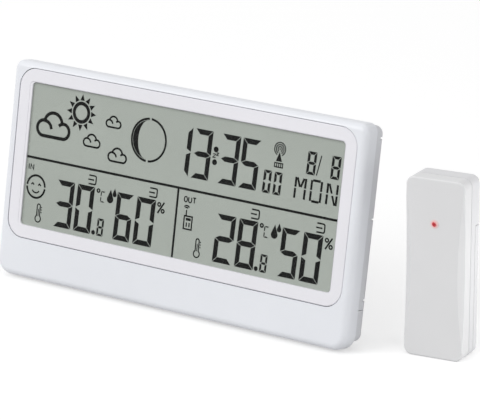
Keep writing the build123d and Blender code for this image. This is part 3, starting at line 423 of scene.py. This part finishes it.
def shadeFilmEdges(material):
    # the panel stands in front of the film, so a soft shade lies along the film's left and upper edges
    tree = material.node_tree
    shader, colour = shaderAndColour(material)
    width, height = window["hole"][:2]
    corner = facePoint(window["right"] - width / 2, height / 2 - window["down"], window["film"][0])
    place = addNode(tree, "TexCoord")
    split = addNode(tree, "SeparateXYZ", {}, Vector=place.outputs["Object"])
    fromLeft = addNode(tree, "Math", {"operation": "SUBTRACT", 1: corner[0]}, _0=split.outputs["X"])
    fromTop = addNode(tree, "Math", {"operation": "SUBTRACT", 0: corner[2]}, _1=split.outputs["Z"])
    nearest = addNode(tree, "Math", {"operation": "MINIMUM"}, _0=fromLeft.outputs[0], _1=fromTop.outputs[0])
    dimmest, reach = window["shade"]
    share = addNode(tree, "MapRange", {"From Max": reach * mm, "To Min": dimmest}, Value=nearest.outputs[0])
    dimmed = addNode(tree, "VectorMath", {"operation": "SCALE"}, _0=colour, Scale=share.outputs["Result"])
    tree.links.new(dimmed.outputs[0], shader.inputs["Base Color"])


def makeFilm():
    # polarising film behind the lip, under the printed segments
    shape = bmesh.new()
    rings = [ringOfVerts(shape, window["back"], depth) for depth in window["film"]]
    joinRings(shape, rings)
    shape.faces.new(rings[0])
    shape.faces.new(rings[-1])
    addPiece("display_polariser", shape, lcdFilm, "station")


makeWindow()
makeWindowLip()
makeFilm()
shadeFilmEdges(lcdFilm)
print("window made")


# the printed figures in mm, measured right of and below the window's upper left corner;
# slant in degrees, and every stroke is made bolder by the same share
artwork = {"left": -95.15, "top": 36.33, "front": 0.95, "back": 1.01,
           "gap": 0.2, "slant": 1.5, "bolder": 1.8}


def artPoint(spot, depth):
    return facePoint(artwork["left"] + spot[0], artwork["top"] - spot[1], depth)


def addPlate(shape, outline):
    # solid plate of ink from a closed outline
    front = [shape.verts.new(artPoint(spot, artwork["front"])) for spot in outline]
    back = [shape.verts.new(artPoint(spot, artwork["back"])) for spot in outline]
    shape.faces.new(front)
    shape.faces.new(back[::-1])
    for i in range(len(outline)):
        shape.faces.new((front[i - 1], front[i], back[i], back[i - 1]))


def addStroke(shape, path, width, closed=False):
    # ribbon of ink along a path, with mitred corners
    width *= artwork["bolder"]
    count = len(path)
    sides = []
    for i, (x, y) in enumerate(path):
        before = path[i - 1] if (closed or i) else None
        after = path[(i + 1) % count] if (closed or i < count - 1) else None
        ways = []
        for one, two in ((before, (x, y)), ((x, y), after)):
            if one and two:
                ways.append(Vector((two[0] - one[0], two[1] - one[1])).normalized())
        normals = [Vector((-way.y, way.x)) for way in ways]
        middle = sum(normals, Vector((0, 0))).normalized()
        reach = width / 2 / max(0.5, middle.dot(normals[0]))
        sides.append(((x + middle.x * reach, y + middle.y * reach),
                      (x - middle.x * reach, y - middle.y * reach)))
    corners = [[shape.verts.new(artPoint(spot, artwork[depth])) for spot in pair for depth in ("front", "back")]
               for pair in sides]
    for i in range(0 if closed else 1, count):
        one, two = corners[i - 1], corners[i]
        for a, b in ((0, 1), (1, 3), (3, 2), (2, 0)):
            shape.faces.new((one[a], one[b], two[b], two[a]))
    if not closed:
        for end in (corners[0], corners[-1]):
            shape.faces.new((end[0], end[1], end[3], end[2]))


def arc(x, y, radius, start, end, radiusY=None, step=9):
    # points of an arc; degrees turn clockwise from the right, because y runs down
    count = max(3, int(abs(end - start) / step))
    turns = [math.radians(start + (end - start) * i / count) for i in range(count + 1)]
    return [(x + radius * math.cos(a), y + (radiusY or radius) * math.sin(a)) for a in turns]


def addDot(shape, x, y, radius):
    addPlate(shape, arc(x, y, radius, 0, 360)[:-1])


def addRing(shape, x, y, radius, width):
    addStroke(shape, arc(x, y, radius, 0, 360)[:-1], width, True)


def segmentPlates(width, height, bar):
    # outlines of the seven segments in a box; each end is cut back by the gap
    gap, middle = artwork["gap"], height / 2
    inner = width - bar
    tip = bar / 2
    return {
        "a": [(gap, 0), (width - gap, 0), (inner - gap, bar), (bar + gap, bar)],
        "b": [(width, gap), (width, middle - gap), (inner, middle - tip - gap), (inner, bar + gap)],
        "c": [(width, middle + gap), (width, height - gap), (inner, height - bar - gap),
              (inner, middle + tip + gap)],
        "d": [(gap, height), (width - gap, height), (inner - gap, height - bar), (bar + gap, height - bar)],
        "e": [(0, middle + gap), (0, height - gap), (bar, height - bar - gap), (bar, middle + tip + gap)],
        "f": [(0, gap), (0, middle - gap), (bar, middle - tip - gap), (bar, bar + gap)],
        "g": [(2 * gap, middle), (bar + gap, middle - tip), (inner - gap, middle - tip),
              (width - 2 * gap, middle), (inner - gap, middle + tip), (bar + gap, middle + tip)],
    }


# the segments lit for each sign; all ten digits, so that other readings can be set
litSegments = {"0": "abcdef", "1": "bc", "2": "abged", "3": "abgcd", "4": "fgbc", "5": "afgcd",
               "6": "afgcde", "7": "abc", "8": "abcdefg", "9": "abcdfg", "C": "afed"}


def addDigit(shape, sign, left, right, top, bottom, bar):
    # seven-segment sign filling the given box, leaning right by the slant
    height = bottom - top
    lean = math.tan(math.radians(artwork["slant"]))
    width = right - left - height * lean
    plates = segmentPlates(width, height, bar)
    for segment in litSegments[sign]:
        addPlate(shape, [(left + x + (height - y) * lean, top + y) for x, y in plates[segment]])


def printDigits(name, digits, dots=()):
    shape = bmesh.new()
    for sign, left, right, top, bottom, bar in digits:
        addDigit(shape, sign, left, right, top, bottom, bar)
    for x, y, radius in dots:
        addDot(shape, x, y, radius)
    addPiece(name, shape, lcdSegment, "station")


cloudWidth = 20.6


def cloudPaths(left, top, width):
    # the cloud's four open lines, drawn at the big cloud's width and scaled
    k = width / cloudWidth
    lines = [
        arc(4.1, 8.6, 3.9, 90, 275) + [(6.0, 4.95), (7.5, 5.7), (8.6, 6.9), (9.2, 8.6)],
        arc(10.1, 6.1, 5.8, 194, 346),
        arc(16.8, 8.7, 3.8, 90, -142),
        [(4.1, 12.5), (16.8, 12.5)],
    ]
    return [[(left + k * x, top + k * y) for x, y in line] for line in lines]


sun = {"x": 32.4, "y": 10.9, "ring": 4.6, "stroke": 1.0, "rays": 12, "root": 6.1, "tip": 9.3,
       "rayWidth": 2.7}
# left, top, width and stroke
clouds = [(5.2, 13.5, cloudWidth, 0.95), (48.4, 9.5, 9.2, 0.5), (35.3, 20.5, 10.4, 0.52),
          (51.5, 24.8, 11.4, 0.55)]


def printWeatherIcons():
    shape = bmesh.new()
    addRing(shape, sun["x"], sun["y"], sun["ring"], sun["stroke"])
    for ray in range(sun["rays"]):
        a = 2 * math.pi * ray / sun["rays"]
        along, across = Vector((math.cos(a), math.sin(a))), Vector((-math.sin(a), math.cos(a)))
        centre = Vector((sun["x"], sun["y"]))
        root = centre + along * sun["root"]
        half = across * sun["rayWidth"] / 2
        addPlate(shape, [tuple(root + half), tuple(centre + along * sun["tip"]), tuple(root - half)])
    for left, top, width, stroke in clouds:
        for path in cloudPaths(left, top, width):
            addStroke(shape, path, stroke)
    addPiece("weather_icons", shape, lcdSegment, "station")


# the ring's two halves are parted by the gap in degrees; the dark crescent lies between two arcs
moon = {"x": 75.6, "y": 17.8, "radius": 10.5, "stroke": 0.6, "gap": 3.3, "dark": 9.75, "inner": 5.7}


def printMoon():
    shape = bmesh.new()
    for start in (-90, 90):
        path = arc(moon["x"], moon["y"], moon["radius"], start + moon["gap"], start + 180 - moon["gap"], step=5)
        addStroke(shape, path, moon["stroke"])
    outer = arc(moon["x"], moon["y"], moon["dark"], 95, 265, step=5)
    edgeX = outer[0][0]
    inner = arc(edgeX, moon["y"], moon["inner"], 265, 95, radiusY=moon["dark"] - 0.1, step=5)
    addPlate(shape, outer + inner[1:-1])
    addPiece("moon_phase_icon", shape, lcdSegment, "station")


# left, top, right and bottom of the line across and of the line down
dividers = [(0.5, 37.35, 190.4, 38.55), (95.9, 38.5, 97.1, 72.6)]


def printDividers():
    shape = bmesh.new()
    for left, top, right, bottom in dividers:
        addPlate(shape, [(left, top), (right, top), (right, bottom), (left, bottom)])
    addPiece("display_dividers", shape, lcdSegment, "station")


mast = {"x": 153.7, "y": 9.6, "dot": 0.4, "rings": (1.2, 2.2, 3.2), "foot": 15.6, "halfFoot": 1.75,
        "box": (151.4, 16.4, 156.1, 18.4), "bars": (152.6, 153.8, 155.0), "stroke": 0.3}


def printSignalMast():
    shape = bmesh.new()
    x, y, foot, half, stroke = (mast[key] for key in ("x", "y", "foot", "halfFoot", "stroke"))
    addDot(shape, x, y, mast["dot"])
    for radius in mast["rings"]:
        addStroke(shape, arc(x, y, radius, 115, 425), stroke)
    addPlate(shape, [(x, y + 1.3), (x + half, foot), (x - half, foot)])
    left, top, right, bottom = mast["box"]
    addStroke(shape, [(left, top), (right, top), (right, bottom), (left, bottom)], stroke, True)
    for left in mast["bars"]:
        addStroke(shape, [(left, top + 0.2), (left, bottom - 0.2)], stroke)
    for step in (0, 1):  # the little z z of the snooze sign between the colon's dots
        size, left, top = 1.7 - 0.5 * step, 114.9 + 2.2 * step, 18.1 - 0.7 * step
        addStroke(shape, [(left, top), (left + size, top), (left, top + size), (left + size, top + size)],
                  stroke)
    addPiece("signal_and_snooze_icons", shape, lcdSegment, "station")


smallBar = 1.42  # bar width of the seconds and the date


def printDate():
    shape = bmesh.new()
    for left in (169.8, 183.7):
        addDigit(shape, "8", left, left + 5.4, 7.8, 18.9, smallBar)
    addStroke(shape, [(177.8, 8.9), (175.9, 18.7)], 0.32)
    addPiece("date_digits", shape, lcdSegment, "station")


weekday = {"top": 20.9, "bottom": 31.6, "bar": 0.66,
           "letters": [(164.3, 170.6, "M"), (173.4, 179.8, "O"), (182.7, 188.9, "N")]}


def printWeekday():
    # letters from straight segments, parted at mid height
    shape = bmesh.new()
    top, bottom, bar = weekday["top"], weekday["bottom"], weekday["bar"]
    middle = (top + bottom) / 2
    for left, right, kind in weekday["letters"]:
        leftX, rightX = left + bar / 2, right - bar / 2
        for x in (leftX, rightX):
            addStroke(shape, [(x + 0.1, top + 0.3), (x, middle - 0.3)], bar)
            addStroke(shape, [(x, middle + 0.3), (x - 0.1, bottom - 0.3)], bar)
        centre = (left + right) / 2
        if kind == "M":
            addStroke(shape, [(leftX + 0.9, top + 0.4), (centre - 0.25, middle - 0.6)], bar * 0.9)
            addStroke(shape, [(rightX - 0.9, top + 0.4), (centre + 0.25, middle - 0.6)], bar * 0.9)
        if kind == "O":
            for y in (top + bar / 2, bottom - bar / 2):
                addStroke(shape, [(leftX + 0.75, y), (rightX - 0.75, y)], bar)
        if kind == "N":
            addStroke(shape, [(leftX + 0.9, top + 0.4), (centre - 0.2, middle - 0.5)], bar * 0.9)
            addStroke(shape, [(centre + 0.2, middle + 0.5), (rightX - 0.9, bottom - 0.4)], bar * 0.9)
    addPiece("weekday_letters", shape, lcdSegment, "station")


def addDrop(shape, x, top, bottom, width):
    # pointed at the top, round below
    radius = width / 2
    low = bottom - radius
    addPlate(shape, [(x, top)] + arc(x, low, radius, -25, 205))


def addThermometer(shape, x, top):
    # tube, bulb and three ticks; drawn 4.5 wide and 9.6 high
    bulbY, tube, bulb = top + 7.6, 0.95, 1.75
    spread = math.degrees(math.asin(tube / bulb))
    outline = arc(x, top + 1.1, tube, 180, 360) + arc(x, bulbY, bulb, -90 + spread, 270 - spread)
    addStroke(shape, outline, 0.36, True)
    addStroke(shape, [(x, bulbY - 1.3), (x, top + 2.6)], 0.25)
    for step in range(3):
        y = top + 1.6 + 1.3 * step
        addStroke(shape, [(x + tube + 0.5, y), (x + tube + 1.2, y)], 0.3)


signStroke = 0.42  # line width of most small signs


def addStoreSign(shape, left, right, top):
    # arrow going into a box that is open on its left
    bottom = top + 4.3
    radius = 0.9
    box = [(left + 0.4, top)] + arc(right - radius, top + radius, radius, -90, 0)
    box += arc(right - radius, bottom - radius, radius, 0, 90) + [(left + 0.4, bottom)]
    addStroke(shape, box, signStroke)
    middle = (top + bottom) / 2
    addStroke(shape, [(left, middle), (right - 1.7, middle)], 0.38)
    addPlate(shape, [(right - 2.0, middle - 0.6), (right - 1.1, middle), (right - 2.0, middle + 0.6)])


def addPercent(shape, left, right, top, bottom):
    addStroke(shape, [(right - 0.6, top), (left + 0.6, bottom)], 0.5)
    addRing(shape, left + 1.15, top + 1.35, 0.85, signStroke)
    addRing(shape, right - 1.15, bottom - 1.35, 0.85, signStroke)


areaWord = {"top": 41.5, "height": 2.6, "pitch": 2.6, "wide": 1.8, "stroke": 0.34}


def addAreaWord(shape, text, left):
    y, height, w, width = (areaWord[key] for key in ("top", "height", "wide", "stroke"))
    for i, letter in enumerate(text):
        x = left + i * areaWord["pitch"]
        if letter == "I":
            addStroke(shape, [(x + 0.25, y), (x + 0.25, y + height)], width)
        if letter == "N":
            x -= 1.2
            addStroke(shape, [(x, y + height), (x, y), (x + w, y + height), (x + w, y)], width)
        if letter == "O":
            ring = arc(x + w / 2, y + height / 2, w / 2, 0, 360, radiusY=height / 2)[:-1]
            addStroke(shape, ring, width, True)
        if letter == "U":
            path = [(x, y)] + arc(x + w / 2, y + height - w / 2, w / 2, 180, 0) + [(x + w, y)]
            addStroke(shape, path, width)
        if letter == "T":
            addStroke(shape, [(x, y), (x + w, y)], width)
            addStroke(shape, [(x + w / 2, y), (x + w / 2, y + height)], width)


bigBar = 2.6  # bar width of the time and the readings
# what each area shows, and how far right of the first its icons stand; boxes as left and right
readings = [
    {"area": "indoor", "signs": "3060", "shift": 0,
     "boxes": [(21.1, 32.7), (34.0, 45.4), (59.1, 70.0), (71.6, 83.7)]},
    {"area": "outdoor", "signs": "2850", "shift": 100.0,
     "boxes": [(120.6, 132.5), (133.9, 145.6), (159.4, 170.4), (171.9, 183.6)]},
]


def printReadings(reading):
    # a temperature with its decimal and a humidity, both in the lower row
    shift = reading["shift"]
    digits = [(sign, left, right, 46.4, 70.2, bigBar)
              for sign, (left, right) in zip(reading["signs"], reading["boxes"])]
    digits.append(("8", 48.7 + shift, 53.0 + shift, 61.4, 70.2, 1.15))
    digits.append(("C", 49.2 + shift, 52.2 + shift, 47.6, 53.2, 0.6))
    printDigits(reading["area"] + "_digits", digits, [(46.8 + shift, 69.0, 1.15)])


def printReadingIcons(reading):
    shape = bmesh.new()
    shift = reading["shift"]
    addRing(shape, 47.7 + shift, 47.7, 0.8, signStroke)
    addDrop(shape, 55.4 + shift, 45.9, 52.8, 3.9)
    addDrop(shape, 57.9 + shift, 45.0, 49.3, 2.5)
    addPercent(shape, 84.6 + shift, 89.4 + shift, 46.8, 52.5)
    addStoreSign(shape, 40.7 + shift, 45.6 + shift, 40.9)
    addStoreSign(shape, 78.9 + shift, 83.8 + shift, 40.9)
    addThermometer(shape, 11.0 + shift, 60.7)
    if shift:
        addAreaWord(shape, "OUT", 100.6)
        case = [(101.6, 50.9), (106.4, 50.9), (106.4, 57.3), (101.6, 57.3)]
        addStroke(shape, case, signStroke, True)
        addPlate(shape, [(102.6, 51.8), (105.6, 51.8), (105.6, 53.1), (102.6, 53.1)])
        for x, top, bottom in ((103.2, 54.1, 56.2), (104.9, 54.1, 56.2), (102.6, 50.9, 47.9)):
            addStroke(shape, [(x, top), (x, bottom)], 0.4)
        for radius in (0.9, 1.8):
            addStroke(shape, arc(102.6, 47.6, radius, 215, 325), 0.36)
    else:
        addAreaWord(shape, "IN", 2.2)
        face = {"x": 8.0, "y": 52.4, "radius": 5.7, "stroke": 0.6}
        for start in (-180, 0):
            half = arc(face["x"], face["y"], face["radius"], start + 4, start + 176)
            addStroke(shape, half, face["stroke"])
        for side in (-2.2, 2.2):
            eyeX = face["x"] + side
            addStroke(shape, [(eyeX - 0.9, 51.6), (eyeX, 50.8), (eyeX + 0.9, 51.6)], signStroke)
        addStroke(shape, arc(face["x"], 53.2, 2.5, 30, 150, radiusY=2.3), signStroke)
    addPiece(reading["area"] + "_icons", shape, lcdSegment, "station")


printDividers()
printWeatherIcons()
printMoon()
printDigits("time_digits", [
    ("1", 90.6, 101.8, 7.4, 31.8, bigBar), ("3", 102.8, 114.0, 7.4, 31.8, bigBar),
    ("3", 119.1, 130.6, 7.4, 31.8, bigBar), ("5", 131.4, 142.6, 7.4, 31.8, bigBar)],
    [(116.5, 15.8, 1.42), (116.3, 22.1, 1.42)])
printDigits("seconds_digits", [("0", 145.6, 150.4, 20.7, 31.8, smallBar),
                               ("0", 151.8, 156.6, 20.7, 31.8, smallBar)])
printSignalMast()
printDate()
printWeekday()
for reading in readings:
    printReadings(reading)
for reading in readings:
    printReadingIcons(reading)
print("display artwork printed")


# the bars on the plus and minus keys, in mm; taper is the share of the width left at the top
keyMark = {"length": 2.6, "width": 0.55, "proud": 0.12, "rooted": 0.2, "taper": 0.92}


def keyFace(key):
    # middle of the key's outer end, in mm right of, above and behind the display's middle
    spots = [vertex.co - faceOrigin for vertex in frame["nodes"][key].data.vertices]
    across = [spot.dot(rightward) / mm for spot in spots]
    up = [spot.dot(upFace) / mm for spot in spots]
    depth = [-spot.dot(towardsViewer) / mm for spot in spots]
    return (max(across) + min(across)) / 2, (max(up) + min(up)) / 2, max(depth)


def makeKeyMark(key, upright):
    # raised bars moulded on the key's outer end
    across, up, end = keyFace(key)
    bars = [(keyMark["length"], keyMark["width"])]
    if upright:
        bars.append((keyMark["width"], keyMark["length"]))
    shape = bmesh.new()
    for wide, tall in bars:
        ring = [(x * wide / 2, y * tall / 2) for x, y in ((-1, -1), (1, -1), (1, 1), (-1, 1))]
        inner, outer = ([shape.verts.new(facePoint(across + x * share, up + y * share, end + beyond))
                         for x, y in ring]
                        for share, beyond in ((1, -keyMark["rooted"]), (keyMark["taper"], keyMark["proud"])))
        shape.faces.new(inner)
        shape.faces.new(outer)
        for i in range(4):
            shape.faces.new((inner[i - 1], inner[i], outer[i], outer[i - 1]))
    addPiece(key + "_mark", shape, blackAbs, key)


makeKeyMark("plus_key", True)
makeKeyMark("minus_key", False)
print("key marks made")


# reach in metres; the fill's slope makes it brighter from the left, from the front and from above
studio = {"fill": 0.42, "slope": (-0.18, -0.14, 0.42),
          "floorColour": "#c9c9c9", "floorShade": "#c6c6c6", "floorLift": 0.5, "floorReach": 12.0}


def makeFloor():
    # white laminate sweep: keeps the shadow, and shows white to the camera
    material, tree = startMaterial("whiteLaminateSweep")
    cloud = grain(tree, 300)
    ramp = addNode(tree, "ValToRGB", {}, Fac=cloud.outputs["Fac"])
    ramp.color_ramp.elements[0].color = linear(studio["floorShade"])
    ramp.color_ramp.elements[1].color = linear(studio["floorColour"])
    diffuse = addNode(tree, "BsdfPrincipled", {"Roughness": 0.9, "Specular IOR Level": 0.1},
                      Base_Color=ramp.outputs["Color"])
    lift = addNode(tree, "Math", {"operation": "MULTIPLY", 1: studio["floorLift"]}, _0=seenPlainly(tree))
    glow = addNode(tree, "Emission", {"Color": (1, 1, 1, 1)}, Strength=lift.outputs[0])
    both = addNode(tree, "AddShader", {}, _0=diffuse.outputs["BSDF"], _1=glow.outputs["Emission"])
    addNode(tree, "OutputMaterial", Surface=both.outputs[0])
    shape = bmesh.new()
    reach = studio["floorReach"]
    corners = ((-reach, -reach), (reach, -reach), (reach, reach), (-reach, reach))
    shape.faces.new([shape.verts.new((x, y, 0)) for x, y in corners])
    mesh = bpy.data.meshes.new("studio_floor")
    shape.to_mesh(mesh)
    shape.free()
    mesh.materials.append(material)
    floor = bpy.data.objects.new("studio_floor", mesh)
    bpy.context.scene.collection.objects.link(floor)


def makeWorld():
    # soft studio fill; pure white only where it is seen directly, through clear things or in gloss
    world = bpy.data.worlds.new("studioFill")
    bpy.context.scene.world = world
    world.use_nodes = True
    tree = world.node_tree
    tree.nodes.clear()
    place = addNode(tree, "TexCoord")
    slope = addNode(tree, "VectorMath", {"operation": "DOT_PRODUCT", 1: studio["slope"]},
                    _0=place.outputs["Generated"])
    fill = addNode(tree, "Math", {"operation": "ADD", 1: studio["fill"]}, _0=slope.outputs["Value"])
    level = addNode(tree, "Mix", {"data_type": "FLOAT", 3: 1.0}, _0=seenPlainly(tree), _2=fill.outputs[0])
    back = addNode(tree, "Background", {"Color": (1, 1, 1, 1)}, Strength=level.outputs[0])
    addNode(tree, "OutputWorld", Surface=back.outputs[0])


# metres; the card stands close behind the sensor's side, so that the sensor shades the unit from it
softboxes = [
    {"name": "keySoftbox", "position": (-1.1, -2.0, 1.5), "aim": (0, 0, 0.06),
     "size": (1.5, 1.5), "watts": 28.0},
    {"name": "edgeStrip", "position": (1.15, -0.65, 0.5), "aim": (0.1, 0, 0.06),
     "size": (0.14, 1.0), "watts": 1.7},
    {"name": "sensorCard", "position": (0.25, 0.045, 0.05), "aim": (0.155, 0.02, 0.045),
     "size": (0.04, 0.1), "watts": 0.062},
]


def turnedTowards(position, aim):
    return (Vector(aim) - Vector(position)).to_track_quat("-Z", "Y").to_euler()


def makeSoftbox(box):
    data = bpy.data.lights.new(box["name"], "AREA")
    data.shape = "RECTANGLE"
    data.size, data.size_y = box["size"]
    data.energy = box["watts"]
    lamp = bpy.data.objects.new(box["name"], data)
    lamp.location = box["position"]
    lamp.rotation_euler = turnedTowards(box["position"], box["aim"])
    lamp.visible_camera = False
    bpy.context.scene.collection.objects.link(lamp)


# position and aim in metres, lens and sensor in mm
shot = {"position": (0.92267, -1.21109, 0.51089), "aim": (0.03968, -0.00129, 0.05824),
        "lens": 243.75, "sensor": 36.0}


def makeCamera():
    data = bpy.data.cameras.new("stillCamera")
    data.lens = shot["lens"]
    data.sensor_width = shot["sensor"]
    data.sensor_fit = "HORIZONTAL"
    camera = bpy.data.objects.new("stillCamera", data)
    camera.location = shot["position"]
    camera.rotation_euler = turnedTowards(shot["position"], shot["aim"])
    bpy.context.scene.collection.objects.link(camera)
    bpy.context.scene.camera = camera


makeFloor()
makeWorld()
for softbox in softboxes:
    makeSoftbox(softbox)
makeCamera()
bpy.context.scene.view_settings.view_transform = "Standard"
print("floor, light and camera set")
